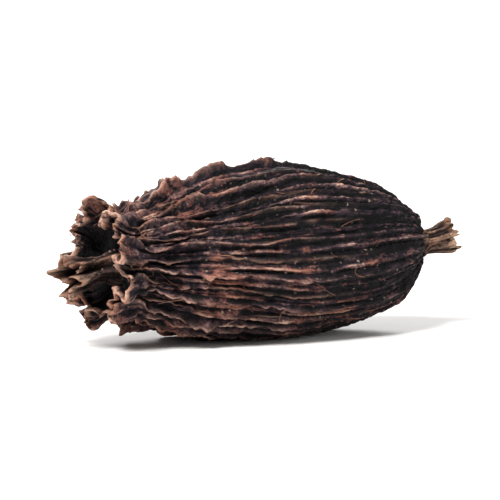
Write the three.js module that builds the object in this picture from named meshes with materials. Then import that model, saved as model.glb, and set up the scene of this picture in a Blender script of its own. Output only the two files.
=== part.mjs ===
// A dried black cardamom pod, the whole fruit of Amomum subulatum, lying on its flattest side.
// It is a blunt, three-sided husk with long ribs, every second one lower. The ribs rise into
// ragged wings towards the flower end, where the skin turns out in a collar of curled folds.
// The withered calyx tube stands in that collar, and a broken stub of stalk sits at the other end.
// Millimetres, +Z up. The pod's length runs along X, with the stalk end at +X.
import * as THREE from "three";

// Driving sizes of the husk.
const HUSK_LENGTH = 33; // stalk end to the lip of the collar
const HUSK_RADIUS = 7.7; // skin at the widest, without ribs
const RIBS = 32;
const RIB_LOW = 0.6; // rib height near the stalk
const RIB_HIGH = 1.15; // wing height near the flower end
const LESSER_RIB = 0.55; // height of every second rib against its neighbours
const SEAT_RADIUS = 2.2; // flat boss that carries the stalk
const NECK_RADIUS = 4.35; // where the collar begins
const COLLAR_RADIUS = 5.1; // middle line of the collar's lip
const COLLAR_WALL = 0.5;
const COLLAR_FOLDS = 9;
const FOLD_DEPTH = 0.85; // how far the folds stand out and in
const FOLD_CURL = 0.3; // how far their sides lean over
const RIPPLE = 0.2; // small ruffles, one a rib
const RECESS_DEPTH = 2.4; // lip to the floor that carries the calyx
const RECESS_RADIUS = 2.9;

// How the ribs run and how their edges wave.
const RIB_WANDER = 0.09; // radians that they swing round the pod on their way
const LESSER_START = 0.14; // share of the length at which the lower ribs begin
const TEETH = 4.2; // waves along the edge of a wing
const TOOTH_DEPTH = 0.32; // against the wing's height
const SWAY = 0.3; // how far a wing leans to either side
const SWAYS = 3.4; // leans along the pod
const PRESSED = 0.8; // share of their height that ribs lose on the belly

// Where things happen along the husk, as shares of its length from the stalk end.
const SEAT_END = 0.08;
const WINGS = [0.15, 0.85]; // ribs grow into wings
const COLLAR = [0.88, 1]; // ribs end and folds grow
const EDGE = [0.94, 1]; // the lip is ragged
const BELLY = [0.1, 0.3]; // ribs start to be pressed flat
const BELLY_END = [0.7, 0.9];
const BODY = [0, 0.25]; // the section turns three-sided
const BODY_END = [0.75, 1];

// Where the pod lies. The floor is at z = 0, and cuts a small flat spot in the belly.
const STALK_END_X = 16.3;
const AXIS_HEIGHT = 6.95;
const BOW = 1.3; // sideways bend of the long axis
const BOW_SHIFT = -1.18; // brings the bent pod back over the origin
const TIP_RISE = 0.7; // both ends lift a little off the floor

// Driving sizes of the calyx and the stalk.
const CALYX_LENGTH = 5.8;
const CALYX_RADIUS = 1.75;
const CALYX_WAIST = 0.42; // share of the radius lost half way
const CALYX_FLARE = 0.25; // share of the radius gained at the mouth
const CALYX_FOLDS = 6;
const CALYX_WALL = 0.65;
const CALYX_HOLLOW = 2.1; // depth of its open mouth
const CALYX_DROOP = { y: -1.1, z: -0.6 }; // how far the mouth hangs from the axis
const STALK_LENGTH = 4.2;
const STALK_RADIUS = 1.65;
const STALK_RIDGES = 9;
const STALK_BEND = { y: -0.7, z: 0.8 };
const SEAT_GAP = 0.05; // keeps touching pieces from sharing material

// What differs round the pod, as sine waves: [size, waves in a turn, shift].
const RIB_SPACING = [[0.05, 4, 0.8]]; // radians
const SECTION = [[-0.06, 3, 0]]; // blunt three-sided section, as a share of the radius
const SHRUNKEN_SIDE = { size: 0.07, angle: 4.1, width: 0.35 };
const FOLD_SPACING = [[0.6, 2, 0.5], [0.5, 3, 2.1]]; // radians of a fold's own turn
const FOLD_SIZES = [[0.3, 4, 1]];
const LIP_RAGGED = [[0.5, 7, 0], [0.3, 11, 0.5]]; // mm along the pod
const CALYX_TORN = [[0.55, 2, 0.6], [0.4, 5, 0]]; // mm along the pod, as is the next
const STALK_SNAPPED = [[0.35, -1, 0.8], [0.22, -4, 0]];
// The same from rib to rib, with the rib's number as the angle.
const RIB_HEIGHTS = [[0.18, 2.4, 1], [0.12, 5.1, 0.4]];

// Mesh fineness. The shares say where rows lie along the calyx and the stalk.
const STEPS_PER_RIB = 3;
const STEPS_PER_FOLD = 6;
const STEPS_PER_RIDGE = 4;
const SKIN_ROWS = 33;
const LIP_BENDS = [0.3 * Math.PI, 0.7 * Math.PI];
const RECESS_SHARES = [0, 0.45, 0.85, 1];
const CALYX_SHARES = [0, 0.2, 0.4, 0.6, 0.8, 1];
const STALK_SHARES = [0, 0.12, 0.3, 0.5, 0.72, 0.9, 1];

const TURN = 2 * Math.PI;
const { clamp, lerp, smoothstep } = THREE.MathUtils;
const waves = (angle, list) =>
  list.reduce((sum, [size, count, shift]) => sum + size * Math.sin(count * angle + shift), 0);

// Skin outline from the stalk seat to the outer edge of the lip, as radius and distance along.
const SKIN_OUTLINE = new THREE.SplineCurve(
  [
    [SEAT_RADIUS, 0],
    [0.46 * HUSK_RADIUS, 0.025 * HUSK_LENGTH],
    [0.72 * HUSK_RADIUS, 0.12 * HUSK_LENGTH],
    [0.93 * HUSK_RADIUS, 0.28 * HUSK_LENGTH],
    [HUSK_RADIUS, 0.46 * HUSK_LENGTH],
    [0.93 * HUSK_RADIUS, 0.64 * HUSK_LENGTH],
    [0.75 * HUSK_RADIUS, 0.8 * HUSK_LENGTH],
    [NECK_RADIUS, 0.91 * HUSK_LENGTH],
    [COLLAR_RADIUS, HUSK_LENGTH],
  ].map(([radius, along]) => new THREE.Vector2(radius, along)),
);

// The long axis: its sideways bend and height at a distance along the pod from the stalk end.
function axisAt(along) {
  const across = (2 * along) / HUSK_LENGTH - 1;
  return { y: BOW * (1 - across * across) + BOW_SHIFT, z: AXIS_HEIGHT + TIP_RISE * across ** 4 };
}

// How a rib differs from its neighbours: its height, where it starts and where its edge waves.
const isLesser = (rib) => rib % 2 === 1;
const ribHeight = (rib) => (isLesser(rib) ? LESSER_RIB : 1) * (0.9 + waves(rib, RIB_HEIGHTS));
const ribStart = (rib) => (isLesser(rib) ? LESSER_START + 0.1 * Math.sin(rib) : 0);
const ribPhase = (rib) => 2.7 * rib + 1.3 * Math.sin(1.9 * rib);

// A curled fold of the collar, as shifts outwards and round the pod, with its outward normal.
// The sides of a fold lean over because it also swings round at twice the rate.
function foldAt(angle, collar, radius) {
  const turn = COLLAR_FOLDS * angle + waves(angle, FOLD_SPACING);
  const depth = collar * FOLD_DEPTH * (1 + waves(angle, FOLD_SIZES));
  const curl = collar * FOLD_CURL;
  const rate = COLLAR_FOLDS / Math.max(radius, 1);
  const normal = new THREE.Vector2(1 + 2 * rate * curl * Math.cos(2 * turn), depth * rate * Math.sin(turn));
  return { out: depth * Math.cos(turn), round: curl * Math.sin(2 * turn), normal: normal.normalize() };
}

// A point of the husk. "radius" and "along" give the outline there, "slope" the skin's normal in
// the outline, "inset" how deep it lies under the collar's outer skin, and "place" counts ribs
// round the pod, so that a whole number is a crest.
function huskPoint({ radius, along, slope, inset }, place) {
  const share = along / HUSK_LENGTH;
  const rib = Math.round(place) % RIBS;
  const even = (TURN * place) / RIBS;
  const crest = (0.5 + 0.5 * Math.cos(TURN * place)) ** 1.5;
  const wings = smoothstep(share, ...WINGS);
  const collar = radius > 0 ? smoothstep(share, ...COLLAR) : 0;

  // Ribs: low near the stalk, high and toothed towards the flower end, pressed flat below.
  const wander = RIB_WANDER * Math.sin(TURN * 0.75 * share + 2 * even);
  const angle = even + waves(even, RIB_SPACING) + wander;
  const underside = smoothstep(share, ...BELLY) * (1 - smoothstep(share, ...BELLY_END));
  const pressed = PRESSED * underside * clamp(-Math.sin(angle), 0, 1) ** 6;
  const begun = smoothstep(share - ribStart(rib), -0.02, 0.14) * smoothstep(share, 0, SEAT_END);
  const teeth = 1 + TOOTH_DEPTH * wings * Math.sin(TURN * (TEETH + (rib % 3)) * share + ribPhase(rib));
  const height = lerp(RIB_LOW, RIB_HIGH, wings) * ribHeight(rib) * teeth * begun;
  const rise = height * crest * (1 - collar) * (1 - pressed);
  const sway = SWAY * wings * (1 - collar) * Math.sin(TURN * SWAYS * share + ribPhase(rib));

  // The blunt three-sided section, and one shrunken side.
  const middle = smoothstep(share, ...BODY) * (1 - smoothstep(share, ...BODY_END));
  const shrunken = Math.exp(-(((angle - SHRUNKEN_SIDE.angle) / SHRUNKEN_SIDE.width) ** 2));
  const section = 1 + middle * (waves(angle, SECTION) - SHRUNKEN_SIDE.size * shrunken);

  // Folds move both walls of the collar together, and the wall stands square to them.
  const fold = foldAt(even, collar, radius);
  const ripple = collar * RIPPLE * Math.cos(TURN * place) - inset;
  const ragged = radius > 0 ? smoothstep(share, ...EDGE) * waves(even, LIP_RAGGED) : 0;

  const out = (radius + inset) * section + rise * slope.x + fold.out + ripple * fold.normal.x;
  const round = crest * sway + fold.round + ripple * fold.normal.y;
  const turned = angle + round / Math.max(radius, 1);
  const axis = axisAt(along);
  return new THREE.Vector3(
    STALK_END_X - along - rise * slope.y - ragged,
    axis.y + out * Math.cos(turned),
    Math.max(axis.z + out * Math.sin(turned), 0),
  );
}

// The husk's outline as rows from pole to pole: the seat, the skin, the rounded lip, the inner
// wall and the recess floor. Ribs rise only from the skin, where the slope isn't zero.
function huskRows() {
  const level = new THREE.Vector2(0, 0);
  const rows = [{ radius: 0, along: 0, slope: level, inset: 0 }];
  for (let i = 0; i <= SKIN_ROWS; i++) {
    const share = i / SKIN_ROWS;
    const point = SKIN_OUTLINE.getPoint(share);
    const slope = SKIN_OUTLINE.getTangent(share);
    rows.push({ radius: point.x, along: point.y, slope: new THREE.Vector2(slope.y, -slope.x), inset: 0 });
  }
  for (const bend of LIP_BENDS) {
    const inset = (COLLAR_WALL / 2) * (1 - Math.cos(bend));
    const along = HUSK_LENGTH + (COLLAR_WALL / 2) * Math.sin(bend);
    rows.push({ radius: COLLAR_RADIUS - inset, along, slope: level, inset });
  }
  for (const share of RECESS_SHARES) {
    const radius = lerp(COLLAR_RADIUS - COLLAR_WALL, RECESS_RADIUS, share ** 1.4);
    rows.push({ radius, along: HUSK_LENGTH - RECESS_DEPTH * share, slope: level, inset: COLLAR_WALL });
  }
  rows.push({ radius: 0, along: HUSK_LENGTH - RECESS_DEPTH, slope: level, inset: 0 });
  return rows;
}

// A closed body of rows and columns. It takes its faces from a lathe of the same size, and its
// points from pointAt(row, column). The rows run towards -X, against the lathe's own axis, so
// the columns are counted backwards to keep the faces pointing out.
function closedBody(rows, columns, pointAt) {
  const outline = rows.map(({ radius, along }) => new THREE.Vector2(radius, along));
  const geometry = new THREE.LatheGeometry(outline, columns);
  const position = geometry.getAttribute("position");
  for (let column = 0; column <= columns; column++) {
    rows.forEach((row, i) => {
      const point = pointAt(row, (columns - column) % columns);
      position.setXYZ(column * rows.length + i, point.x, point.y, point.z);
    });
  }
  geometry.deleteAttribute("uv");
  geometry.computeVertexNormals();
  return geometry;
}

function huskGeometry() {
  const columns = RIBS * STEPS_PER_RIB;
  return closedBody(huskRows(), columns, (row, column) => huskPoint(row, column / STEPS_PER_RIB));
}

// The calyx: a crumpled tube with an open, torn mouth, drooping as it leaves the collar.
function calyxGeometry() {
  const columns = CALYX_FOLDS * STEPS_PER_FOLD;
  const base = HUSK_LENGTH - RECESS_DEPTH;
  const axis = axisAt(base);
  const side = (share) =>
    CALYX_RADIUS * (1 - CALYX_WAIST * Math.sin(Math.PI * share ** 0.8) ** 2 + CALYX_FLARE * share ** 3);
  const outside = CALYX_SHARES.map((share) => ({ radius: side(share), along: CALYX_LENGTH * share }));
  const inside = [0, 0.6, 1].map((share) => ({
    radius: (side(1) - CALYX_WALL) * (1 - 0.45 * share),
    along: CALYX_LENGTH - CALYX_HOLLOW * share,
  }));
  const bottom = { radius: 0, along: CALYX_LENGTH - CALYX_HOLLOW };
  const rows = [{ radius: 0, along: 0 }, ...outside, ...inside, bottom];
  return closedBody(rows, columns, ({ radius, along }, column) => {
    const share = along / CALYX_LENGTH;
    const angle = (TURN * column) / columns;
    const open = smoothstep(share, 0.2, 1);
    const torn = radius > 0 ? smoothstep(share, 0.5, 1) * waves(angle, CALYX_TORN) : 0;
    const folds = lerp(0.2, 0.42, open) * Math.sin(CALYX_FOLDS * angle + 1.2 * share);
    const crumple = folds + 0.14 * Math.sin(3 * angle + 5 * share);
    const out = radius + (radius > 0 ? smoothstep(share, 0, 0.15) * crumple : 0);
    return new THREE.Vector3(
      STALK_END_X - base - SEAT_GAP - along - torn,
      axis.y + CALYX_DROOP.y * share ** 2 + out * Math.cos(angle),
      axis.z + CALYX_DROOP.z * share ** 2 + out * Math.sin(angle) * lerp(1, 0.78, open),
    );
  });
}

// The stalk: a short woody stub with low ridges, swollen where it joins, snapped off at the end.
function stalkGeometry() {
  const columns = STALK_RIDGES * STEPS_PER_RIDGE;
  const axis = axisAt(0);
  const rows = [
    { radius: 0, along: 0 },
    ...STALK_SHARES.map((share) => ({
      radius: STALK_RADIUS * (1.16 - 0.5 * smoothstep(share, 0, 0.45) + 0.2 * smoothstep(share, 0.5, 1)),
      along: STALK_LENGTH * share,
    })),
    { radius: 0.45 * STALK_RADIUS, along: 0.93 * STALK_LENGTH },
    { radius: 0, along: 0.88 * STALK_LENGTH },
  ];
  return closedBody(rows, columns, ({ radius, along }, column) => {
    const share = along / STALK_LENGTH;
    // These rows run towards +X, so the turn is the other way round.
    const angle = (-TURN * column) / columns;
    const ridges = 0.12 * Math.cos(STALK_RIDGES * angle - 0.8 * share);
    const dents = -0.1 * Math.sin(2 * angle - 3 * share);
    const snapped = radius > 0 ? smoothstep(share, 0.75, 1) * waves(angle, STALK_SNAPPED) : 0;
    const out = radius * (1 + ridges + dents);
    return new THREE.Vector3(
      STALK_END_X + SEAT_GAP + along + snapped,
      axis.y + STALK_BEND.y * share ** 2 + out * Math.cos(angle),
      axis.z + STALK_BEND.z * share ** 2 + out * Math.sin(angle),
    );
  });
}

function piece(name, geometry, colour, roughness) {
  const material = new THREE.MeshStandardMaterial({ color: colour, roughness, metalness: 0 });
  const mesh = new THREE.Mesh(geometry, material);
  mesh.name = name;
  return mesh;
}

const pod = new THREE.Group();
pod.add(
  piece("husk", huskGeometry(), "#3a261d", 0.78),
  piece("calyx", calyxGeometry(), "#6b4a34", 0.85),
  piece("stalk", stalkGeometry(), "#7a5638", 0.85),
);

export default pod;
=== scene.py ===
"""A dried black cardamom pod: ribbed husk, withered calyx, snapped stalk and loose fibres."""

import math
import random

import bmesh
import bpy
import numpy as np
from bpy.props import FloatProperty, FloatVectorProperty, IntProperty, PointerProperty
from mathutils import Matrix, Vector, noise


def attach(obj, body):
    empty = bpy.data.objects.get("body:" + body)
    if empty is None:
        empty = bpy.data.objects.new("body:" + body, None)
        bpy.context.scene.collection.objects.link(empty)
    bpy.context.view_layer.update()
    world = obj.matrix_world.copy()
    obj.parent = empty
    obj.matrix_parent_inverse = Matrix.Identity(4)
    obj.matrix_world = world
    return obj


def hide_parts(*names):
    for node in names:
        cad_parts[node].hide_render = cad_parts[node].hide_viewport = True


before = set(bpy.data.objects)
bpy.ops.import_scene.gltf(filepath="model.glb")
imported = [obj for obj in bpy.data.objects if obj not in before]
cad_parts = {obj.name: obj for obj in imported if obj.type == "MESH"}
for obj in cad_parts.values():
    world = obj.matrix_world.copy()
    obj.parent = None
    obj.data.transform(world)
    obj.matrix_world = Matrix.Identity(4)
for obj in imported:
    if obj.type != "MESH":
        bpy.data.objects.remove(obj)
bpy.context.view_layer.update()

bl_info = {
    "name": "Dried black cardamom pod",
    "version": (1, 0, 0),
    "blender": (4, 5, 0),
    "location": "3D View > Sidebar > Pod",
    "description": "Builds a dried black cardamom pod on a pale studio floor",
    "category": "Add Mesh",
}

MM = 0.001
TURN = 2 * math.pi

# Where the pod lies, in millimetres, as in the solid model: its stalk end, the height of its
# long axis, the sideways bend of that axis and the lift of both ends.
STALK_END_X = 16.3
AXIS_HEIGHT = 6.95
BOW = 1.3
BOW_SHIFT = -1.18
TIP_RISE = 0.7

# The husk's outline from seat to neck, as shares of its radius and of its length.
OUTLINE = [(0.46, 0.025), (0.72, 0.12), (0.93, 0.28), (1, 0.46), (0.93, 0.64), (0.75, 0.8)]
NECK_PLACE = 0.91

# Where things happen along the husk, as shares of its length from the stalk end.
SEAT_END = 0.08
WINGS = (0.15, 0.85)
COLLAR = (0.88, 1)
EDGE = (0.94, 1)
LIP_TORN = (0.984, 1.001)
BELLY, BELLY_END = (0.1, 0.3), (0.7, 0.9)
BODY, BODY_END = (0, 0.25), (0.75, 1)
RIB_BEGINS = (-0.02, 0.14)

# How the ribs run: how far they wander round, in radians, how often, and where the lesser
# ones start.
RIB_WANDER, RIB_WANDERS = 0.09, 0.75
LESSER_START, LESSER_START_SPREAD = 0.14, 0.1

# The ribs' height against their settings, one rib's against the others, and how sharp their
# crests are near the stalk and how much more so on the wings.
RIB_GAIN, MEAN_RIB = 1.1, 0.9
SHARPNESS, WING_SHARPNESS = 2.0, 1.2

# How the ribs' edges wave: depth of the nicks near the stalk and on the wings, teeth and sways
# along the husk, and the shift of one rib's against the next.
NICKING, NICK_RANGE = (0.15, 0.55), (-1, 0.5)
TEETH, TOOTH_DEPTH, TOOTH_KINDS = 4.2, 0.32, 3
SWAY, SWAYS, SWAY_NICKS = 0.3, 3.4, 0.25
PHASE_STEP, PHASE_SWING, PHASE_WAVES = 2.7, 1.3, 1.9

# How flat the ribs are pressed underneath, and how narrow that strip is.
PRESSED, PRESSED_NARROW = 0.8, 6

# The thin ridge between each two ribs: its height in millimetres, how narrow it is, how it
# drifts round, its share of that height on average and in the noise, and how far it is pressed.
RIDGE_HEIGHT, RIDGE_NARROW, RIDGE_DRIFT = 0.4, 5, 0.12
RIDGE_MEAN, RIDGE_VARIES, RIDGE_PRESSED = 0.75, 0.8, 0.5

# Striae and wrinkles: heights in millimetres, those of wrinkles near the stalk and on the
# wings, and how much of it all the crests and the collar lose.
STRIA_HEIGHT, STRIAE_PER_RIB, STRIA_DRIFT = 0.13, 3, 0.8
WRINKLE_HEIGHTS, CREST_LOSES = (0.05, 0.18), 0.6
COLLAR_LOSES_FINE, COLLAR_LOSES_LUMPS = 0.3, 0.6

# The pleats of the lip, their depth in millimetres, and how the folds weaken inside it.
PLEAT_DEPTH, PLEATS_PER_RIB, PLEAT_DRIFT, RUFFLE_DRIFT = 0.12, 2, 0.7, 0.2
FOLDS_LOST_INSIDE = 0.5

# What differs round the pod, as sine waves: size, waves in a turn and shift.
RIB_SPACING = [(0.05, 4, 0.8)]
SECTION = [(-0.06, 3, 0)]
SHRUNKEN_SIZE, SHRUNKEN_ANGLE, SHRUNKEN_WIDTH = 0.07, 4.1, 0.35
FOLD_SPACING = [(0.6, 2, 0.5), (0.5, 3, 2.1)]
FOLD_SIZES = [(0.3, 4, 1)]
LIP_RAGGED = [(0.5, 7, 0), (0.3, 11, 0.5)]
CALYX_TORN = [(0.55, 2, 0.6), (0.4, 5, 0)]
STALK_SNAPPED = [(0.35, -1, 0.8), (0.22, -4, 0)]
RIB_HEIGHTS = [(0.18, 2.4, 1), (0.12, 5.1, 0.4)]

# How fast the octaves of every noise weaken, and how much finer each is than the one before.
NOISE_FALL, NOISE_FINER = 0.8, 2.0

# Noises that roughen the pieces: size in millimetres, how far places count across and along,
# patches in a millimetre, and octaves.
DRIFT = 1, (1, 1, 0.35), 0.35, 2
NICKS = 1, (1, 1, 1), 0.8, 3
WRINKLES = 1, (0.35, 0.35, 1), 1.3, 2
FINE_WRINKLES = 0.08, (0.5, 0.5, 1), 2.1, 2
LUMPS = 0.3, (1, 1, 1), 0.16, 2
SMALL_LUMPS = 0.07, (1, 1, 1), 1.5, 2
LIP_CRINKLES = 0.24, (1, 1, 0.4), 0.9, 3
FINE_CRINKLES = 0.09, (1, 1, 0.3), 2.6, 2
LIP_TEARS = 0.7, (1, 1, 0), 1.1, 4
MOUTH_TEARS = 0.8, (1, 1, 0), 1.4, 3
CALYX_DENTS = 0.25, (1, 1, 0.6), 0.55, 3
CALYX_CREASES = 0.08, (1, 1, 0.25), 2.2, 2
VEIN_DRIFT = 2.5, (0.5, 0.5, 1), 0.5, 2
BARK_DRIFT = 2, (1, 1, 1), 0.4, 2
BARK = 0.09, (1, 1, 0.2), 1.6, 3
SPLINTERS = 0.7, (1, 1, 1), 2.2, 3

# How strongly each part of the relief lightens the husk.
GROUND_TONE, RIB_TONE, FINE_TONE, DETAIL_TONE = 0.12, 0.18, 0.8, 0.4
CREST_LINE, RIDGE_LINE = 0.36, 0.32
WING_TONE, WING_RIB_TONE, WING_RIDGE_TONE = 0.1, 0.3, 0.16
COLLAR_TONE, FOLD_TONE, RUFFLE_TONE, PLEAT_TONE = 0.34, 0.16, 0.8, 0.14
BRIGHTEST, TORN_WINGS = 1.3, 0.8

# How narrow the torn edges and lines of the crests are, and how broad the light on the wings.
TORN_NARROW, LINE_NARROW, RIB_BROAD, RIDGE_BROAD = 8, 6, 0.5, 0.4

# Shape of the calyx: waist, flare and throat against its radius, its folds' depth at the base and
# the mouth and their twist, its veins, and how it flattens and droops. Depths are in millimetres.
CALYX_WAIST, CALYX_FLARE, CALYX_THROAT = 0.42, 0.25, 0.55
CALYX_FOLD_DEPTHS, CALYX_TWIST = (0.2, 0.42), 1.2
BUCKLE_DEPTH, BUCKLES, BUCKLE_TWIST = 0.14, 3, 5
VEIN_HEIGHT, VEINS = 0.05, 19
CALYX_FLATTENED, CALYX_DROOP_Y, CALYX_DROOP_Z = 0.22, -1.1, -0.6

# Where the calyx crumples, opens, tears and dries, as shares of its length, and its tones.
CALYX_CRUMPLES, CALYX_OPENS, CALYX_TEARS, CALYX_DRIES = (0, 0.15), (0.2, 1), (0.5, 1), (0.75, 1.05)
WAIST_SHIFT = 0.8
CALYX_TONE, CALYX_FOLD_TONE = 0.45, 1.1

# Shape of the stalk: its foot, waist and head against its radius, its hollow broken end, and its
# ridges, scars and bend. Scars have a size and a place along the stalk.
STALK_FOOT, STALK_WAIST, STALK_HEAD, STALK_END = 1.16, 0.5, 0.2, 0.86
END_HOLLOW = 0.9
RIDGE_DEPTH, RIDGE_TWIST = 0.12, 0.8
OVAL_DEPTH, OVAL_TWIST = 0.1, 3
BARK_LINE_DEPTH, BARK_LINES = 0.05, 23
STALK_SCARS, SCAR_WIDTH = [(0.1, 0.2), (0.07, 0.34)], 0.035
STALK_BEND_Y, STALK_BEND_Z = -0.7, 0.8

# Where the stalk's foot narrows, its head widens, its end is broken off and splintered, as shares of its
# length, its tones, and how strong the painted shade is in the hollow of its broken end.
FOOT_NARROWS, HEAD_WIDENS, SNAPPED, SPLINTERED = (0, 0.45), (0.5, 1), (0.75, 1), (0.8, 1)
STALK_TONE, STALK_RIDGE_TONE, END_SHADE = 0.4, 2.2, 0.7

# How far the calyx and the stalk are sunk in the husk, in millimetres.
SEAT_SINK = 0.3

# Loose fibres by the setting that counts them: the rows of the husk on which they grow, their
# size against the longest, and how far they lean towards the collar.
FIBRE_PLACES = {
    "stalk_count": ((0.012, 0.05), 1.0, -1.6),
    "collar_count": ((0.74, 0.85), 0.5, 1.2),
    "skin_count": ((0.2, 0.8), 0.5, 2.6),
}
FIBRE_SEED = 11
FIBRE_SHORTEST, FIBRE_LIFT, FIBRE_TAPER = 0.25, 0.5, 0.6
FIBRE_CURL, FIBRE_MEMORY, FIBRE_SCATTER = 0.16, 0.7, 0.001
LOWEST_ROOT = -0.5

# Sunk root of a fibre and its clearance over the floor, in millimetres, and how far it levels out.
FIBRE_SINK, FLOOR_CLEARANCE, LEVELLING = 0.3, 0.15, 0.2

# Fineness of the pieces.
HUSK_STEPS_PER_RIB, HUSK_ROWS = 12, 256
CALYX_COLUMNS, CALYX_ROWS = 192, 170
FIBRE_SIDES, FIBRE_STEPS = 5, 12
STALK_COLUMNS, STALK_ROWS = 180, 130

# Shares of the husk's rows at which the seat ends, the lip starts and ends, and the wall ends.
SEAT_ROWS, SKIN_ROWS, LIP_ROWS, WALL_ROWS = 0.01, 0.86, 0.90, 0.97

# The same for the calyx: the ends of its base, tube, lip and throat. And for the stalk, from its
# broken end: the ends of that face, its rim and its side.
BASE_ROWS, TUBE_ROWS, MOUTH_ROWS, THROAT_ROWS = 0.03, 0.72, 0.76, 0.95
END_ROWS, RIM_ROWS, SIDE_ROWS = 0.12, 0.2, 0.97

# Radii below which folds, and any relief, fade out towards a pole, in millimetres.
POLE_FADE, POLE = 2, 1e-6

# Steps in the rows' share, to find which way the skin runs.
SMALL_STEP, SPOT_STEP = 1e-4, 0.01

# How far apart the ribs' nicks are in their noise, in millimetres, how long a grain runs
# against its width, and how narrow the husk's becomes at its ends.
RIB_APART = (7.3, 3.1)
HUSK_GRAIN, PIECE_GRAIN, NARROWEST_GRAIN = 9, 8, 0.35

# The stage, in metres, degrees and watts.
FLOOR_REACH, FLOOR_COLOUR, FLOOR_ROUGHNESS = 4, "#f1efed", 0.8
WORLD_STRENGTH = 0.24
AIM = Vector((0, 0, 0.008))
SOFTBOXES = [
    ("key softbox", (-0.3, -0.2, 0.42), 0.2, 4.8),
    ("fill softbox", (0.35, -0.35, 0.18), 0.3, 0.8),
    ("rim softbox", (0.18, 0.4, 0.3), 0.25, 2.4),
]
CAMERA_AZIMUTH, CAMERA_ELEVATION = -30, 6.5
CAMERA_DISTANCE, VIEW_WIDTH = 0.85, 0.0455
NEAREST_SEEN, FARTHEST_SEEN = 0.01, 20


def metres(millimetres):
    return millimetres * MM


def linear(colour):
    """An sRGB hex colour as the linear one that shaders use."""
    shares = [int(colour[i : i + 2], 16) / 255 for i in (1, 3, 5)]
    return [c / 12.92 if c <= 0.04045 else ((c + 0.055) / 1.055) ** 2.4 for c in shares] + [1.0]


def size_property(name, description, millimetres):
    return FloatProperty(
        name=name, description=description, default=metres(millimetres), min=0, precision=5, unit="LENGTH"
    )


def count_property(name, description, count, lowest=0):
    return IntProperty(name=name, description=description, default=count, min=lowest)


def colour_property(name, description, colour):
    return FloatVectorProperty(
        name=name, description=description, default=linear(colour), subtype="COLOR", size=4, min=0, max=1
    )


class HuskSettings(bpy.types.PropertyGroup):
    """Sizes and colours of the husk"""

    length: size_property("Length", "Stalk end to the lip of the collar", 33)
    radius: size_property("Radius", "Skin at the widest, without ribs", 7.7)
    ribs: count_property("Ribs", "Long ribs, every second one lower", 32, lowest=8)
    rib_low: size_property("Low ribs", "Rib height near the stalk", 0.6)
    rib_high: size_property("High ribs", "Height of the wings near the collar", 1.15)
    lesser: FloatProperty(
        name="Lesser ribs", description="Every second rib's height against the others", default=0.55, min=0
    )
    seat: size_property("Seat", "Radius of the flat boss that carries the stalk", 2.2)
    neck: size_property("Neck", "Radius where the collar begins", 4.35)
    collar: size_property("Collar", "Radius of the collar's lip", 5.1)
    wall: size_property("Collar wall", "Thickness of the collar at its lip", 0.27)
    folds: count_property("Folds", "Curled folds round the collar", 9, lowest=3)
    fold_depth: size_property("Fold depth", "How far the folds stand out and in", 0.85)
    fold_curl: size_property("Fold curl", "How far the sides of the folds lean over", 0.36)
    ripple: size_property("Ripple", "Small ruffles of the lip, one a rib", 0.28)
    recess_depth: size_property("Recess depth", "Lip to the floor that carries the calyx", 2.4)
    recess_radius: size_property("Recess radius", "Radius of the recess floor", 2.9)
    # Painted shade: near black in the deepest grooves, where it is partly the skin's own dark brown, and
    # over the collar's hollow.
    pit_shade: colour_property("Grooves", "Deepest grooves and hollows", "#070709")
    skin: colour_property("Skin", "Flanks of the ribs", "#1a151b")
    worn: colour_property("Worn skin", "Upper flanks of the ribs", "#3d2e33")
    crest: colour_property("Crests", "Worn tops of the ribs", "#795e5b")
    frill: colour_property("Frill", "Dry torn edges of the collar and wings", "#dbb09a")
    rust: colour_property("Rust", "Patches where the brown turns reddish", "#91553e")


class CalyxSettings(bpy.types.PropertyGroup):
    """Sizes and colours of the withered calyx tube"""

    length: size_property("Length", "Recess floor to the torn mouth", 5.8)
    radius: size_property("Radius", "Radius at the base", 1.75)
    folds: count_property("Folds", "Long folds round the tube", 6, lowest=3)
    wall: size_property("Wall", "Thickness at the mouth", 0.4)
    hollow: size_property("Hollow", "Depth of the open mouth", 2.1)
    # Painted shade: darkens the creases, where it is partly the tissue's own brown, and fills the inside
    # of the mouth.
    pit_shade: colour_property("Creases", "Creases and the inside of the mouth", "#120b0a")
    skin: colour_property("Skin", "Main colour", "#241b1a")
    worn: colour_property("Folds", "Tops of the folds", "#41322e")
    crest: colour_property("Veins", "Dry veins", "#6b5349")
    frill: colour_property("Torn edge", "Dry torn mouth", "#9d7d6b")
    rust: colour_property("Rust", "Patches where the brown turns reddish", "#704532")


class FibreSettings(bpy.types.PropertyGroup):
    """Number, sizes and colours of the loose fibres"""

    stalk_count: count_property("At the stalk", "Fibres round the stalk's seat", 26)
    collar_count: count_property("At the collar", "Fibres where the collar begins", 26)
    skin_count: count_property("On the skin", "Fibres lifted off the wings", 60)
    length: size_property("Length", "Longest fibre", 6)
    radius: size_property("Radius", "Radius of a fibre at its root", 0.055)
    dark: colour_property("Dark", "Dark stretches", "#38221a")
    rust: colour_property("Rust", "Main colour", "#6a4330")
    light: colour_property("Light", "Dry, pale stretches", "#946b4e")


class StalkSettings(bpy.types.PropertyGroup):
    """Sizes and colours of the snapped stalk"""

    length: size_property("Length", "Seat to the snapped end", 4.2)
    radius: size_property("Radius", "Radius of the stub", 1.65)
    ridges: count_property("Ridges", "Low ridges round the stub", 9, lowest=4)
    # Painted shade: darkens the cracks between the ridges, where it is partly the bark's own brown, and
    # the hollow middle of the broken end.
    pit_shade: colour_property("Cracks", "Cracks between the ridges", "#1a110e")
    skin: colour_property("Bark", "Main colour", "#3a2b25")
    worn: colour_property("Ridges", "Tops of the ridges", "#5e483d")
    crest: colour_property("Fibres", "Bare wood fibres", "#836755")
    frill: colour_property("Break", "Pale snapped end", "#a98971")
    rust: colour_property("Rust", "Patches where the brown turns reddish", "#7c553f")


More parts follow.
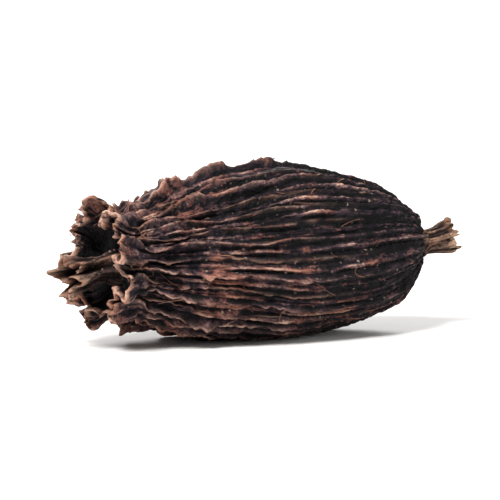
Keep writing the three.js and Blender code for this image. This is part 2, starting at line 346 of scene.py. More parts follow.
def clamp(value, low, high):
    return np.minimum(np.maximum(value, low), high)


def lerp(a, b, share):
    return a + (b - a) * share


def smoothstep(value, low, high):
    share = clamp((value - low) / (high - low), 0, 1)
    return share * share * (3 - 2 * share)


def spline(points, share):
    """A Catmull-Rom curve through the points, at shares from 0 to 1 of its stretches."""
    points = np.array(points, float)
    last = len(points) - 1
    place = clamp(share, 0, 1) * last
    first = np.minimum(place.astype(int), last - 1)
    w = (place - first)[:, None]
    before, a, b, after = (points[clamp(first + k, 0, last)] for k in (-1, 0, 1, 2))
    leave, arrive = (b - before) / 2, (after - a) / 2
    cubic = 2 * a - 2 * b + leave + arrive
    square = -3 * a + 3 * b - 2 * leave - arrive
    return cubic * w**3 + square * w**2 + leave * w + a


def rough(points, size, counts, patches, octaves):
    """Blender's fractal noise, from about -size to size, at points in millimetres."""
    places = points * counts * patches
    return size * np.array([noise.fractal(Vector(p), NOISE_FALL, NOISE_FINER, octaves) for p in places])


def waves(angle, parts):
    return sum(size * np.sin(count * angle + shift) for size, count, shift in parts)


def wave_slopes(angle, parts):
    return sum(size * count * np.cos(count * angle + shift) for size, count, shift in parts)


def ring_of(angle, radius):
    return np.column_stack([np.cos(angle), np.sin(angle)]) * radius


def axis_at(along, length):
    """The long axis, as y and z, at a distance along the pod from the stalk end."""
    across = 2 * along / length - 1
    return BOW * (1 - across**2) + BOW_SHIFT, AXIS_HEIGHT + TIP_RISE * across**4


def rib_phase(rib):
    """A shift of its own for each rib, so that its teeth don't line up with its neighbours'."""
    return PHASE_STEP * rib + PHASE_SWING * np.sin(PHASE_WAVES * rib)


def rib_start(rib):
    return np.where(rib % 2 == 1, LESSER_START + LESSER_START_SPREAD * np.sin(rib), 0)


def outline(husk, row):
    """The husk's outline at shares of its rows: radius, distance along, the skin's slope there
    and how deep the row lies under the collar's outer skin, in millimetres. Past the skin, the
    slope stays that of its edge."""
    length, radius, collar, wall = (v / MM for v in (husk.length, husk.radius, husk.collar, husk.wall))
    seat, neck, depth, recess = (
        v / MM for v in (husk.seat, husk.neck, husk.recess_depth, husk.recess_radius)
    )
    skin = [
        (seat, 0),
        *((across * radius, place * length) for across, place in OUTLINE),
        (neck, NECK_PLACE * length),
        (collar, length),
    ]
    past_seat = row >= SEAT_ROWS
    share = clamp((row - SEAT_ROWS) / (SKIN_ROWS - SEAT_ROWS), 0, 1)
    here = spline(skin, share)
    before, after = (spline(skin, clamp(share + step, 0, 1)) for step in (-SMALL_STEP, SMALL_STEP))
    slope = after - before
    slope = slope[:, ::-1] * (1, -1) / np.linalg.norm(slope, axis=1)[:, None] * past_seat[:, None]

    # Past the skin come the rounded lip, the inner wall and the floor of the recess.
    bend = math.pi * clamp((row - SKIN_ROWS) / (LIP_ROWS - SKIN_ROWS), 0, 1)
    inset = np.where(row > SKIN_ROWS, wall / 2 * (1 - np.cos(bend)), 0)
    down = clamp((row - LIP_ROWS) / (WALL_ROWS - LIP_ROWS), 0, 1)
    r = np.where(row > SKIN_ROWS, collar - inset, here[:, 0])
    skin_there = lerp(collar, neck, depth * down / ((1 - NECK_PLACE) * length))
    r = np.where(row > LIP_ROWS, lerp(skin_there - wall, recess, down**3), r)
    r = np.where(row > WALL_ROWS, recess * (1 - row) / (1 - WALL_ROWS), r)
    r = np.where(row < SEAT_ROWS, seat * row / SEAT_ROWS, r)
    along = np.where(row > SKIN_ROWS, length + wall / 2 * np.sin(bend) - depth * down, here[:, 1])
    inset = inset * clamp((1 - row) / (1 - WALL_ROWS), 0, 1)
    return r, along, slope, inset


def fold_at(husk, angle, collar, radius):
    """The collar's curled folds, as shifts outwards and round the pod, and their outward normal.
    The sides of a fold lean over because it also swings round at twice the rate."""
    turn = husk.folds * angle + waves(angle, FOLD_SPACING)
    depth = collar * husk.fold_depth / MM * (1 + waves(angle, FOLD_SIZES))
    curl = collar * husk.fold_curl / MM
    rate = (husk.folds + wave_slopes(angle, FOLD_SPACING)) / np.maximum(radius, 1)
    normal = np.column_stack([1 + 2 * rate * curl * np.cos(2 * turn), depth * rate * np.sin(turn)])
    normal /= np.linalg.norm(normal, axis=1)[:, None]
    return depth * np.cos(turn), curl * np.sin(2 * turn), normal


def husk_points(husk, row, turn):
    """Points of the husk in millimetres, and the masks that colour it. row is the share of its
    rows from the stalk, turn the angle round it in turns."""
    length, widest = husk.length / MM, husk.radius / MM
    radius, along, slope, inset = outline(husk, row)
    solid = clamp(radius / POLE_FADE, 0, 1)
    share = along / length
    even = TURN * turn
    place = turn * husk.ribs
    rib = np.round(place) % husk.ribs
    wings = smoothstep(share, *WINGS)
    collar = smoothstep(share, *COLLAR) * solid
    inside = smoothstep(row, LIP_ROWS, WALL_ROWS)
    shared = smoothstep(row, SEAT_ROWS, 4 * SEAT_ROWS) * (1 - inside)
    outside = shared * (1 - smoothstep(row, SKIN_ROWS, LIP_ROWS))

    # Noise runs on the surface, round the pod as a circle and along it, so that it has no seam.
    around = ring_of(even, widest)
    sheet = np.column_stack([around, along])
    drift = rough(sheet, *DRIFT)
    nicks = rough(np.column_stack([*(rib * apart for apart in RIB_APART), along]), *NICKS)

    # Ribs: low near the stalk, high, toothed and nicked towards the flower end, flat below.
    crest = (0.5 + 0.5 * np.cos(TURN * place)) ** (SHARPNESS + WING_SHARPNESS * wings)
    wander = RIB_WANDER * np.sin(TURN * RIB_WANDERS * share + 2 * even)
    angle = even + waves(even, RIB_SPACING) + wander
    underside = smoothstep(share, *BELLY) * (1 - smoothstep(share, *BELLY_END))
    pressed = PRESSED * underside * clamp(-np.sin(angle), 0, 1) ** PRESSED_NARROW
    teeth = 1 + TOOTH_DEPTH * wings * np.sin(TURN * (TEETH + rib % TOOTH_KINDS) * share + rib_phase(rib))
    teeth *= 1 + lerp(*NICKING, wings) * clamp(nicks, *NICK_RANGE)
    begun = smoothstep(share - rib_start(rib), *RIB_BEGINS) * smoothstep(share, 0, SEAT_END)
    own = np.where(rib % 2 == 1, husk.lesser, 1) * (MEAN_RIB + waves(rib, RIB_HEIGHTS))
    height = lerp(husk.rib_low / MM, husk.rib_high / MM, wings) * own * teeth * begun
    rise = RIB_GAIN * height * crest * (1 - collar) * (1 - pressed) * (1 - inside)
    swing = SWAY * np.sin(TURN * SWAYS * share + rib_phase(rib)) + SWAY_NICKS * nicks
    sway = wings * (1 - collar) * swing

    # A thin ridge runs between each two ribs, and the skin is wrinkled, lumpy and shrivelled.
    between = (0.5 - 0.5 * np.cos(TURN * (place + RIDGE_DRIFT * drift))) ** RIDGE_NARROW
    ridge = between * (1 - RIDGE_PRESSED * pressed) * (RIDGE_MEAN + RIDGE_VARIES * drift)
    stria = (1 - crest) * np.cos(TURN * (STRIAE_PER_RIB * place + STRIA_DRIFT * drift))
    wrinkle = (1 - CREST_LOSES * crest) * lerp(*WRINKLE_HEIGHTS, wings) * rough(sheet, *WRINKLES)
    wrinkle += rough(sheet, *FINE_WRINKLES)
    lumps = rough(sheet, *LUMPS) + rough(sheet, *SMALL_LUMPS)
    fine = RIDGE_HEIGHT * ridge + STRIA_HEIGHT * stria + wrinkle
    fine *= shared * (1 - COLLAR_LOSES_FINE * collar)
    detail = fine + lumps * shared * (1 - COLLAR_LOSES_LUMPS * collar)
    relief = rise + detail

    middle = smoothstep(share, *BODY) * (1 - smoothstep(share, *BODY_END))
    shrunken = np.exp(-(((angle - SHRUNKEN_ANGLE) / SHRUNKEN_WIDTH) ** 2))
    section = 1 + middle * (waves(angle, SECTION) - SHRUNKEN_SIZE * shrunken)

    # Folds move both walls of the collar together, and the wall stands square to them.
    folded = collar * (1 - FOLDS_LOST_INSIDE * inside)
    fold_out, fold_round, fold_normal = fold_at(husk, even, folded, radius)
    pleats = np.cos(TURN * (PLEATS_PER_RIB * place + PLEAT_DRIFT * drift))
    ruffles = husk.ripple / MM * np.cos(TURN * (place + RUFFLE_DRIFT * drift)) + PLEAT_DEPTH * pleats
    ripple = collar * (ruffles + rough(sheet, *LIP_CRINKLES) + rough(sheet, *FINE_CRINKLES))
    bulge = relief * slope[:, 0] + ripple - inset
    edge = smoothstep(share, *EDGE) * solid
    ragged = edge * (waves(even, LIP_RAGGED) + rough(sheet, *LIP_TEARS))

    out = (radius + inset) * section + fold_out + bulge * fold_normal[:, 0]
    sideways = crest * sway + fold_round + bulge * fold_normal[:, 1]
    turned = angle + sideways / np.maximum(radius, 1)
    y, z = axis_at(along, length)
    points = np.column_stack([
        STALK_END_X - along - relief * slope[:, 1] - ragged,
        y + out * np.cos(turned),
        np.maximum(z + out * np.sin(turned), 0),
    ])

    # Tone: light lines on crests and ridges, broader light on the wings, and the folds' tops. Where the
    # tone is low, in the grooves and the inner folds, the colour ramp paints shade, partly over the skin's
    # own dark brown.
    torn = TORN_WINGS * (1 - collar) * wings * crest**TORN_NARROW * clamp(0.5 + nicks, 0, 1)
    fold_top = clamp(fold_out / (husk.fold_depth / MM), -1, 1)
    lines = CREST_LINE * own * begun * crest**LINE_NARROW
    lines += RIDGE_LINE * clamp(ridge, 0, 1) * outside
    broad = WING_TONE + WING_RIB_TONE * begun * crest**RIB_BROAD
    broad += WING_RIDGE_TONE * between**RIDGE_BROAD
    on_rib = RIB_TONE * rise + (lines + wings**2 * broad) * (1 - collar)
    on_fold = COLLAR_TONE + FOLD_TONE * fold_top + RUFFLE_TONE * ripple + PLEAT_TONE * pleats
    tone = GROUND_TONE + on_rib + FINE_TONE * fine + DETAIL_TONE * detail + collar * on_fold
    narrowed = lerp(NARROWEST_GRAIN, 1, radius / widest)[:, None]
    masks = {
        "rise": clamp(tone, 0, BRIGHTEST),
        "frill": clamp(smoothstep(share, *LIP_TORN) + torn, 0, 1) * (1 - inside),
        # The collar's inner wall and recess floor, to be painted over with the darkest colour as shade.
        "hollow": inside,
        "grain": np.column_stack([around * narrowed, along / HUSK_GRAIN]),
    }
    return points, masks


def calyx_points(calyx, husk, row, turn):
    """Points of the crumpled calyx tube, from the middle of its base to the bottom of its mouth."""
    length, radius, wall, hollow = (v / MM for v in (calyx.length, calyx.radius, calyx.wall, calyx.hollow))
    up = clamp((row - BASE_ROWS) / (TUBE_ROWS - BASE_ROWS), 0, 1)
    bend = math.pi * clamp((row - TUBE_ROWS) / (MOUTH_ROWS - TUBE_ROWS), 0, 1)
    down = clamp((row - MOUTH_ROWS) / (THROAT_ROWS - MOUTH_ROWS), 0, 1)
    mouth = (1 + CALYX_FLARE) * radius
    throat = CALYX_THROAT * (mouth - wall)
    r = radius * (1 - CALYX_WAIST * np.sin(math.pi * up**WAIST_SHIFT) ** 2 + CALYX_FLARE * up**3)
    r = np.where(row > TUBE_ROWS, mouth - wall / 2 + wall / 2 * np.cos(bend), r)
    r = np.where(row > MOUTH_ROWS, lerp(mouth - wall, throat, down), r)
    r = np.where(row > THROAT_ROWS, throat * (1 - row) / (1 - THROAT_ROWS), r)
    r = np.where(row < BASE_ROWS, radius * row / BASE_ROWS, r)
    along = np.where(row > TUBE_ROWS, length + wall / 2 * np.sin(bend) - hollow * down, length * up)

    share = along / length
    solid = r > POLE
    angle = TURN * turn
    open_up = smoothstep(share, *CALYX_OPENS)
    ring = ring_of(angle, radius)
    skin = np.column_stack([ring, along])
    torn = smoothstep(share, *CALYX_TEARS) * (waves(angle, CALYX_TORN) + rough(skin, *MOUTH_TEARS))
    crumple = lerp(*CALYX_FOLD_DEPTHS, open_up) * np.sin(calyx.folds * angle + CALYX_TWIST * share)
    crumple += BUCKLE_DEPTH * np.sin(BUCKLES * angle + BUCKLE_TWIST * share) + rough(skin, *CALYX_DENTS)
    veins = VEIN_HEIGHT * np.cos(VEINS * angle + rough(skin, *VEIN_DRIFT)) + rough(skin, *CALYX_CREASES)
    reach = r + smoothstep(share, *CALYX_CRUMPLES) * (crumple + veins) * solid

    start = (husk.length - husk.recess_depth) / MM
    y, z = axis_at(np.full(len(row), start), husk.length / MM)
    points = np.column_stack([
        STALK_END_X - start + SEAT_SINK - along - torn * solid,
        y + CALYX_DROOP_Y * share**2 + reach * np.cos(angle),
        z + CALYX_DROOP_Z * share**2 + reach * np.sin(angle) * (1 - CALYX_FLATTENED * open_up),
    ])
    inside = smoothstep(row, MOUTH_ROWS, THROAT_ROWS)
    masks = {
        # Creases get a low tone, partly painted shade; the inside of the mouth is painted over with the
        # darkest colour as shade.
        "rise": clamp(CALYX_TONE + CALYX_FOLD_TONE * (crumple + veins), 0, 1) * (1 - inside),
        "frill": smoothstep(share, *CALYX_DRIES) * (1 - inside),
        "hollow": inside,
        "grain": np.column_stack([ring, along / PIECE_GRAIN]),
    }
    return points, masks


def stalk_points(stalk, husk, row, turn):
    """Points of the snapped stub, from the middle of its broken end to the middle of its seat."""
    length, radius = stalk.length / MM, stalk.radius / MM
    share = 1 - clamp((row - RIM_ROWS) / (SIDE_ROWS - RIM_ROWS), 0, 1)
    narrowing, widening = smoothstep(share, *FOOT_NARROWS), smoothstep(share, *HEAD_WIDENS)
    side = radius * (STALK_FOOT - STALK_WAIST * narrowing + STALK_HEAD * widening)
    rim = clamp((row - END_ROWS) / (RIM_ROWS - END_ROWS), 0, 1)
    end = STALK_END * radius
    r = np.where(row < RIM_ROWS, lerp(end / 2, end, rim), side)
    r = np.where(row < END_ROWS, end / 2 * clamp(row / END_ROWS, 0, 1), r)
    r = np.where(row > SIDE_ROWS, side * (1 - row) / (1 - SIDE_ROWS), r)
    along = length * np.where(row < RIM_ROWS, lerp(END_HOLLOW, 1, smoothstep(rim, 0, 1)), share)

    share = along / length
    solid = r > POLE
    angle = TURN * turn
    ring = ring_of(angle, radius)
    skin = np.column_stack([ring, along])
    end_face = np.column_stack([ring * (r / radius)[:, None], np.zeros(len(row))])
    ridge = RIDGE_DEPTH * np.cos(stalk.ridges * angle - RIDGE_TWIST * share)
    ridge -= OVAL_DEPTH * np.sin(2 * angle - OVAL_TWIST * share)
    ridge += BARK_LINE_DEPTH * np.cos(BARK_LINES * angle + rough(skin, *BARK_DRIFT)) + rough(skin, *BARK)
    scars = sum(size * np.exp(-(((share - place) / SCAR_WIDTH) ** 2)) for size, place in STALK_SCARS)
    splintered = smoothstep(share, *SPLINTERED)
    snapped = smoothstep(share, *SNAPPED) * waves(angle, STALK_SNAPPED)
    snapped += splintered * rough(end_face, *SPLINTERS)
    reach = r * (1 + (ridge + scars) * solid)
    y, z = axis_at(np.zeros(len(row)), husk.length / MM)
    points = np.column_stack([
        STALK_END_X - SEAT_SINK + along + snapped * solid,
        y + STALK_BEND_Y * share**2 + reach * np.cos(angle),
        z + STALK_BEND_Z * share**2 + reach * np.sin(angle),
    ])
    masks = {
        "rise": clamp(STALK_TONE + STALK_RIDGE_TONE * ridge, 0, 1),
        "frill": splintered,
        # The hollow middle of the broken end, painted over with the darkest colour as shade.
        "hollow": END_SHADE * (1 - smoothstep(row, 0, END_ROWS)),
        "grain": np.column_stack([end_face[:, :2], along / PIECE_GRAIN]),
    }
    return points, masks


def new_body(name, shape):
    """A finished bmesh as a new object at the origin."""
    mesh = bpy.data.meshes.new(name)
    shape.to_mesh(mesh)
    shape.free()
    body = bpy.data.objects.new(name, mesh)
    bpy.context.scene.collection.objects.link(body)
    return body


def shade_smooth(mesh):
    mesh.polygons.foreach_set("use_smooth", np.ones(len(mesh.polygons), bool))


def round_body(name, columns, rows):
    """A closed ball as a new object, with each point's share of the rows and of the turn."""
    shape = bmesh.new()
    bmesh.ops.create_uvsphere(shape, u_segments=columns, v_segments=rows, radius=1)
    body = new_body(name, shape)
    ball = np.empty(len(body.data.vertices) * 3)
    body.data.vertices.foreach_get("co", ball)
    ball = ball.reshape(-1, 3)
    row = np.round(np.arccos(clamp(ball[:, 2], -1, 1)) / math.pi * rows) / rows
    turn = np.round(np.arctan2(ball[:, 1], ball[:, 0]) / TURN * columns) / columns % 1.0
    return body, row, turn


def shape_body(body, points, masks):
    """Moves a body's points to their places and stores its masks for the materials."""
    mesh = body.data
    mesh.vertices.foreach_set("co", (points * MM).ravel())
    for name, values in masks.items():
        vector = values.ndim == 2
        attribute = mesh.attributes.new(name, "FLOAT_VECTOR" if vector else "FLOAT", "POINT")
        attribute.data.foreach_set("vector" if vector else "value", values.astype(np.float32).ravel())
    shade_smooth(mesh)
    mesh.update()


def dress(body, node, material):
    """Gives a finished body its material, and puts it in the place of the solid node."""
    body.data.materials.append(material)
    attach(body, "root")
    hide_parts(node)


def husk_spots(husk, rows, turns):
    """Points on the husk's skin, its outward direction there and the way to the collar."""
    rows, turns = np.array(rows), np.array(turns)
    points, _ = husk_points(husk, rows, turns)
    ahead, _ = husk_points(husk, rows + SPOT_STEP, turns)
    around, _ = husk_points(husk, rows, turns + 0.5 / husk.ribs)
    out = np.cross(around - points, ahead - points)
    spots = zip(points, out, ahead - points)
    return [(Vector(p), Vector(n).normalized(), Vector(a).normalized()) for p, n, a in spots]


def grow(draw, root, heading, length):
    """The path of one fibre from its root. It wanders, and stays above the floor."""
    direction = heading.normalized()
    path = [root - FIBRE_SINK * direction]
    step = length / FIBRE_STEPS
    bend = Vector([draw.gauss(0, FIBRE_CURL) for _ in range(3)])
    for _ in range(FIBRE_STEPS):
        new_bend = Vector([draw.gauss(0, FIBRE_CURL) for _ in range(3)])
        bend = FIBRE_MEMORY * bend + (1 - FIBRE_MEMORY) * new_bend
        direction = (direction + bend).normalized()
        if path[-1].z + direction.z * step < FLOOR_CLEARANCE:
            direction.z = LEVELLING * abs(direction.z)
        path.append(path[-1] + direction.normalized() * step)
    return path


def fibre_shape(paths, root_radius):
    """Thin, tapered, closed tubes along lists of points in millimetres, as one bmesh."""
    shape = bmesh.new()
    for path in paths:
        steps = [b - a for a, b in zip(path, path[1:])]
        steps.append(steps[-1])
        corners = bmesh.ops.create_circle(shape, cap_ends=True, segments=FIBRE_SIDES, radius=1)["verts"]
        end = corners[0].link_faces[0]
        for i, (point, step) in enumerate(zip(path, steps)):
            if i > 0:
                end = bmesh.ops.extrude_discrete_faces(shape, faces=[end])["faces"][0]
            side = step.orthogonal().normalized()
            up = step.cross(side).normalized()
            radius = root_radius * (1 - FIBRE_TAPER * i / FIBRE_STEPS)
            for k, corner in enumerate(end.verts):
                angle = TURN * k / FIBRE_SIDES
                corner.co = (point + radius * (math.cos(angle) * side + math.sin(angle) * up)) * MM
    bmesh.ops.holes_fill(shape, edges=shape.edges, sides=FIBRE_SIDES)
    bmesh.ops.recalc_face_normals(shape, faces=shape.faces)
    return shape


def new_material(name):
    material = bpy.data.materials.new(name)
    material.use_nodes = True
    material.node_tree.nodes.clear()
    return material, material.node_tree


def add(tree, kind, *values, sockets=None, stops=(), **settings):
    """Adds a node with its settings, colour stops and links. values fill its sockets in their order,
    and sockets more of them by name or number. A value is a number, a colour, another node's output
    or another node, whose first output is then linked."""
    node = tree.nodes.new("ShaderNode" + kind)
    for name, value in settings.items():
        setattr(node, name, value)
    for name, value in [*enumerate(values), *(sockets or {}).items()]:
        if isinstance(value, bpy.types.Node):
            value = value.outputs[0]
        if isinstance(value, bpy.types.NodeSocket):
            tree.links.new(value, node.inputs[name])
        else:
            node.inputs[name].default_value = value
    for i, (position, colour) in enumerate(stops):
        points = node.color_ramp.elements
        point = points[i] if i < len(points) else points.new(position)
        point.position, point.color = position, colour
    return node


def laid_over(tree, colour, layers):
    """A colour with others laid over it, each by its own share."""
    for share, above in layers:
        mixed = add(tree, "Mix", sockets={0: share, 6: colour, 7: above}, data_type="RGBA")
        colour = mixed.outputs[2]
    return colour


# Widths of the patterns on plant skin, in millimetres, and a strand's against a fibre's.
BLOTCH, GRIT, RED_PATCH, RUST_STREAK, DUST_SPACING = 4, 0.3, 5, 2.2, 0.6
STRAND = 2.2
PATTERN_ROUGHNESS = 0.6
DUST_COLOUR = "#b8a193"

# How strongly each noise moves the tone, and the tones of the colours. The tone passes 1, where a
# ramp ends, so it is scaled first.
TONE_WEIGHTS = {"fibre": 2.0, "strand": 1.2, "blotch": 0.8, "grit": 1.1}
TONE_SCALE = 0.72
# The darkest stop paints shade into the deepest grooves and creases, partly over their own brown; the
# upper stops are wear and dry edges.
TONES = {"pit_shade": 0.1, "skin": 0.32, "worn": 0.52, "crest": 0.74, "frill": 1}

# Where a noise or the tone starts to let a layer through and where it lets all of it through, and
# the most that there is of the layer.
RED_FROM, RED_TONES, MOST_RED = (0.48, 0.62), (0.45, 1), 0.6
RUST_FROM, MOST_RUST = (0.42, 0.6), 0.75
STRAND_FROM, MOST_STRAND = (0.52, 0.68), 0.6
DRY_FROM = (0.34, 0.5)
SPECK_FROM, UNEVEN_SPECKS, DUSTY_FROM = (0.69, 0.55), 0.9, (0.46, 0.6)
DUST_CHOICE, MOST_DUST = (0.4, 0.8), 0.85

# A fibre's dark and light stretches, in millimetres, its tones, roughness and passing light.
STRETCH = 2.5
FIBRE_TONES = {"dark": 0.3, "rust": 0.5, "light": 0.7}
FIBRE_ROUGHNESS, FIBRE_GLOW = 0.6, 0.05

# Dark parts are glossier and light ones duller, by this much.
GLOSS_TONES, GLOSS_SPREAD = (0, 0.9), 0.12
SPECULAR = 0.15
GRIT_RELIEF = 0.7


def plant_skin(name, colours, fibre_mm, bump_mm, roughness):
    """Dried plant skin. Its colour follows the relief from dark grooves, partly painted shade, to worn
    tops, with long fibres, blotches, dry torn edges and specks of dust. Hollows are painted over with the
    darkest colour as shade."""
    material, tree = new_material(name)
    rise, edge, hollow = (
        add(tree, "Attribute", attribute_name=mask).outputs["Fac"] for mask in ("rise", "frill", "hollow")
    )
    grain = add(tree, "Attribute", attribute_name="grain").outputs["Vector"]
    place = add(tree, "TexCoord").outputs["Object"]

    # The grain vector is in millimetres round the piece and squeezed along it, so fibres run along.
    patterns = {
        "fibre": (grain, fibre_mm, 4),
        "strand": (grain, STRAND * fibre_mm, 2),
        "blotch": (place, metres(BLOTCH), 4),
        "grit": (place, metres(GRIT), 3),
        "red": (place, metres(RED_PATCH), 3),
        "rust": (place, metres(RUST_STREAK), 2),
    }
    noises = {}
    for kind, (vector, size, detail) in patterns.items():
        sockets = {"Vector": vector, "Scale": 1 / size, "Detail": detail, "Roughness": PATTERN_ROUGHNESS}
        noises[kind] = add(tree, "TexNoise", sockets=sockets)

    # A noise lies about a half, so half of every weight comes off the tone first.
    tone = add(tree, "Math", rise, sum(TONE_WEIGHTS.values()) / 2, operation="SUBTRACT")
    for kind, weight in TONE_WEIGHTS.items():
        tone = add(tree, "Math", noises[kind], weight, tone, operation="MULTIPLY_ADD")
    stops = [(position, getattr(colours, shade)) for shade, position in TONES.items()]
    scaled = add(tree, "Math", tone, TONE_SCALE, operation="MULTIPLY")
    colour = add(tree, "ValToRGB", scaled, stops=stops).outputs["Color"]

    # The brown of the raised parts turns reddish in patches a few millimetres across.
    patch = add(tree, "MapRange", noises["red"], *RED_FROM)
    raised = add(tree, "MapRange", tone, *RED_TONES, 0, MOST_RED)
    reddish = add(tree, "Math", patch, raised, operation="MULTIPLY")

    # A torn edge is dry and tan, streaked with rust where fibres stand out of it.
    rusty = add(tree, "MapRange", noises["rust"], *RUST_FROM, 0, MOST_RUST)
    stranded = add(tree, "MapRange", noises["strand"], *STRAND_FROM, 0, MOST_STRAND)
    torn = laid_over(tree, colours.frill, [(rusty, colours.rust), (stranded, colours.worn)])
    dry_fibre = add(tree, "MapRange", noises["fibre"], *DRY_FROM)
    dry = add(tree, "Math", edge, dry_fibre, operation="MULTIPLY")

    # Specks of pale dust, under a quarter of a millimetre, thick in some patches only.
    cells = add(tree, "TexVoronoi", sockets={"Vector": place, "Scale": 1 / metres(DUST_SPACING)})
    uneven = add(tree, "Math", noises["grit"], UNEVEN_SPECKS, cells, operation="MULTIPLY_ADD")
    speck = add(tree, "MapRange", uneven, *SPECK_FROM)
    dusty = add(tree, "MapRange", noises["blotch"], *DUSTY_FROM)
    chosen = add(tree, "MapRange", cells.outputs["Color"], *DUST_CHOICE, 0, MOST_DUST)
    for share in (dusty, chosen):
        speck = add(tree, "Math", speck, share, operation="MULTIPLY")

    # Last, the hollows are painted over with the darkest colour as shade.
    layers = [(reddish, colours.rust), (dry, torn), (speck, linear(DUST_COLOUR)), (hollow, colours.pit_shade)]
    colour = laid_over(tree, colour, layers)

    relief = add(tree, "Math", noises["fibre"], noises["strand"], operation="ADD")
    relief = add(tree, "Math", noises["grit"], GRIT_RELIEF, relief, operation="MULTIPLY_ADD")
    bump = add(tree, "Bump", sockets={"Height": relief, "Strength": 1, "Distance": metres(bump_mm)})
    gloss = add(tree, "MapRange", tone, *GLOSS_TONES, roughness - GLOSS_SPREAD, roughness + GLOSS_SPREAD)
    shader = add(tree, "BsdfPrincipled", sockets={
        "Base Color": colour,
        "Roughness": gloss,
        "Specular IOR Level": SPECULAR,
        "Normal": bump,
    })
    add(tree, "OutputMaterial", shader)
    return material


def husk_material(colours):
    """Leathery fruit skin, dried over smoke: near black and slightly glossy in the grooves, where the
    black is partly painted shade, worn brown on the ribs."""
    return plant_skin("smoke-dried husk skin", colours, fibre_mm=0.25, bump_mm=0.55, roughness=0.62)


def calyx_material(colours):
    """Withered sepal tissue: papery and brown, with creases darkened partly by painted shade."""
    return plant_skin("withered papery calyx", colours, fibre_mm=0.22, bump_mm=0.1, roughness=0.72)


def stalk_material(colours):
    """Woody stalk, dried and snapped by hand: brown bark with paler broken fibres."""
    return plant_skin("snapped woody stalk", colours, fibre_mm=0.2, bump_mm=0.12, roughness=0.75)


def fibre_material(colours):
    """Loose plant fibre, torn off the skin: rust brown, thin enough to pass a little light."""
    material, tree = new_material("torn rust-brown fibre")
    place = add(tree, "TexCoord").outputs["Object"]
    sockets = {"Vector": place, "Scale": 1 / metres(STRETCH), "Detail": 3, "Roughness": PATTERN_ROUGHNESS}
    tone = add(tree, "TexNoise", sockets=sockets)
    stops = [(position, getattr(colours, shade)) for shade, position in FIBRE_TONES.items()]
    shader = add(tree, "BsdfPrincipled", sockets={
        "Base Color": add(tree, "ValToRGB", tone, stops=stops),
        "Roughness": FIBRE_ROUGHNESS,
        "Transmission Weight": FIBRE_GLOW,
    })
    add(tree, "OutputMaterial", shader)
    return material


def floor_material():
    """Painted board: pale, even and matt."""
    material, tree = new_material("pale matt board")
    sockets = {"Base Color": linear(FLOOR_COLOUR), "Roughness": FLOOR_ROUGHNESS}
    add(tree, "OutputMaterial", add(tree, "BsdfPrincipled", sockets=sockets))
    return material


def stand(name, data, place):
    """Puts a lamp or a camera at a place, turned towards the pod."""
    holder = bpy.data.objects.new(name, data)
    holder.location = place
    holder.rotation_euler = (AIM - Vector(place)).to_track_quat("-Z", "Y").to_euler()
    bpy.context.scene.collection.objects.link(holder)
    return holder


class PodHusk(bpy.types.Operator):
    """Build the ribbed husk with its collar of curled folds"""

    bl_idname = "pod.husk"
    bl_label = "Husk"

    def execute(self, context):
        husk = context.scene.pod_husk
        body, row, turn = round_body("ribbed_husk", husk.ribs * HUSK_STEPS_PER_RIB, HUSK_ROWS)
        shape_body(body, *husk_points(husk, row, turn))
        dress(body, "husk", husk_material(husk))
        return {"FINISHED"}


class PodCalyx(bpy.types.Operator):
    """Build the withered calyx tube in the collar"""

    bl_idname = "pod.calyx"
    bl_label = "Calyx"

    def execute(self, context):
        calyx = context.scene.pod_calyx
        body, row, turn = round_body("withered_calyx", CALYX_COLUMNS, CALYX_ROWS)
        shape_body(body, *calyx_points(calyx, context.scene.pod_husk, row, turn))
        dress(body, "calyx", calyx_material(calyx))
        return {"FINISHED"}


class PodStalk(bpy.types.Operator):
    """Build the snapped stub of stalk"""

    bl_idname = "pod.stalk"
    bl_label = "Stalk"

    def execute(self, context):
        stalk = context.scene.pod_stalk
        body, row, turn = round_body("snapped_stalk", STALK_COLUMNS, STALK_ROWS)
        shape_body(body, *stalk_points(stalk, context.scene.pod_husk, row, turn))
        dress(body, "stalk", stalk_material(stalk))
        return {"FINISHED"}


class PodFibres(bpy.types.Operator):
    """Add loose fibres at the stalk, at the collar and along the wings"""

    bl_idname = "pod.fibres"
    bl_label = "Fibres"

    def execute(self, context):
        fibres, husk = context.scene.pod_fibres, context.scene.pod_husk
        draw = random.Random(FIBRE_SEED)
        paths = []
        for setting, (stretch, size, forward) in FIBRE_PLACES.items():
            count = range(getattr(fibres, setting))
            rows = [draw.uniform(*stretch) for _ in count]
            turns = [draw.randrange(husk.ribs) / husk.ribs + draw.gauss(0, FIBRE_SCATTER) for _ in count]
            turns = [turn if math.sin(TURN * turn) > LOWEST_ROOT else turn + 0.5 for turn in turns]
            for root, out, ahead in husk_spots(husk, rows, turns):
                length = fibres.length / MM * size * draw.uniform(FIBRE_SHORTEST, 1)
                paths.append(grow(draw, root, FIBRE_LIFT * out + forward * ahead, length))
        body = new_body("loose_fibres", fibre_shape(paths, fibres.radius / MM))
        shade_smooth(body.data)
        body.data.materials.append(fibre_material(fibres))
        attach(body, "root")
        return {"FINISHED"}


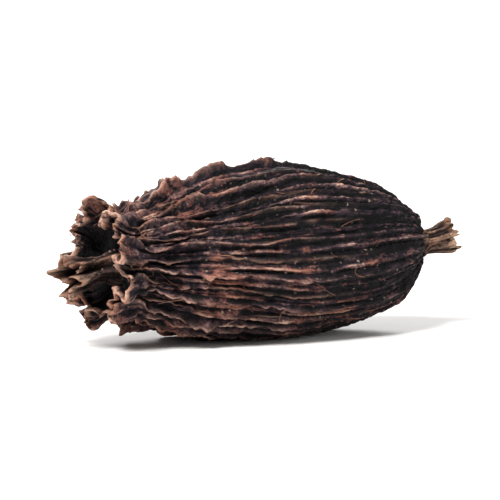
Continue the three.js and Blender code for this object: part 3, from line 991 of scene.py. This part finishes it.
class PodStage(bpy.types.Operator):
    """Set the pale floor, the soft studio lights and the camera"""

    bl_idname = "pod.stage"
    bl_label = "Stage"

    def execute(self, context):
        scene = context.scene
        shape = bmesh.new()
        bmesh.ops.create_grid(shape, x_segments=1, y_segments=1, size=FLOOR_REACH)
        floor = new_body("floor", shape)
        floor.data.materials.append(floor_material())

        scene.world = bpy.data.worlds.new("studio")
        scene.world.use_nodes = True
        background = scene.world.node_tree.nodes["Background"].inputs
        background["Color"].default_value = (1, 1, 1, 1)
        background["Strength"].default_value = WORLD_STRENGTH
        scene.view_settings.view_transform = "Standard"
        for name, place, size, power in SOFTBOXES:
            lamp = bpy.data.lights.new(name, "AREA")
            lamp.size, lamp.energy = size, power
            stand(name, lamp, place)

        azimuth, elevation = math.radians(CAMERA_AZIMUTH), math.radians(CAMERA_ELEVATION)
        back = Vector((
            math.sin(azimuth) * math.cos(elevation),
            -math.cos(azimuth) * math.cos(elevation),
            math.sin(elevation),
        ))
        camera = bpy.data.cameras.new("camera")
        camera.lens = camera.sensor_width * CAMERA_DISTANCE / VIEW_WIDTH
        camera.clip_start, camera.clip_end = NEAREST_SEEN, FARTHEST_SEEN
        scene.camera = stand("camera", camera, AIM + back * CAMERA_DISTANCE)
        return {"FINISHED"}


class PodPanel(bpy.types.Panel):
    """The pod's pieces and sizes"""

    bl_idname = "VIEW3D_PT_pod"
    bl_label = "Black cardamom pod"
    bl_space_type = "VIEW_3D"
    bl_region_type = "UI"
    bl_category = "Pod"

    def draw(self, context):
        for group in (getattr(context.scene, name) for name in SETTINGS):
            box = self.layout.box()
            for name in group.__annotations__:
                box.prop(group, name)
        for operator in OPERATORS:
            self.layout.operator(operator.bl_idname)


SETTINGS = {
    "pod_husk": HuskSettings,
    "pod_calyx": CalyxSettings,
    "pod_stalk": StalkSettings,
    "pod_fibres": FibreSettings,
}
OPERATORS = (PodHusk, PodCalyx, PodStalk, PodFibres, PodStage)
CLASSES = (*SETTINGS.values(), *OPERATORS, PodPanel)


def register():
    for kind in CLASSES:
        bpy.utils.register_class(kind)
    for name, group in SETTINGS.items():
        setattr(bpy.types.Scene, name, PointerProperty(type=group))


def unregister():
    for name in SETTINGS:
        delattr(bpy.types.Scene, name)
    for kind in reversed(CLASSES):
        bpy.utils.unregister_class(kind)


def main():
    register()
    bpy.ops.pod.husk()
    bpy.ops.pod.calyx()
    bpy.ops.pod.stalk()
    bpy.ops.pod.fibres()
    bpy.ops.pod.stage()


if __name__ == "__main__":
    main()
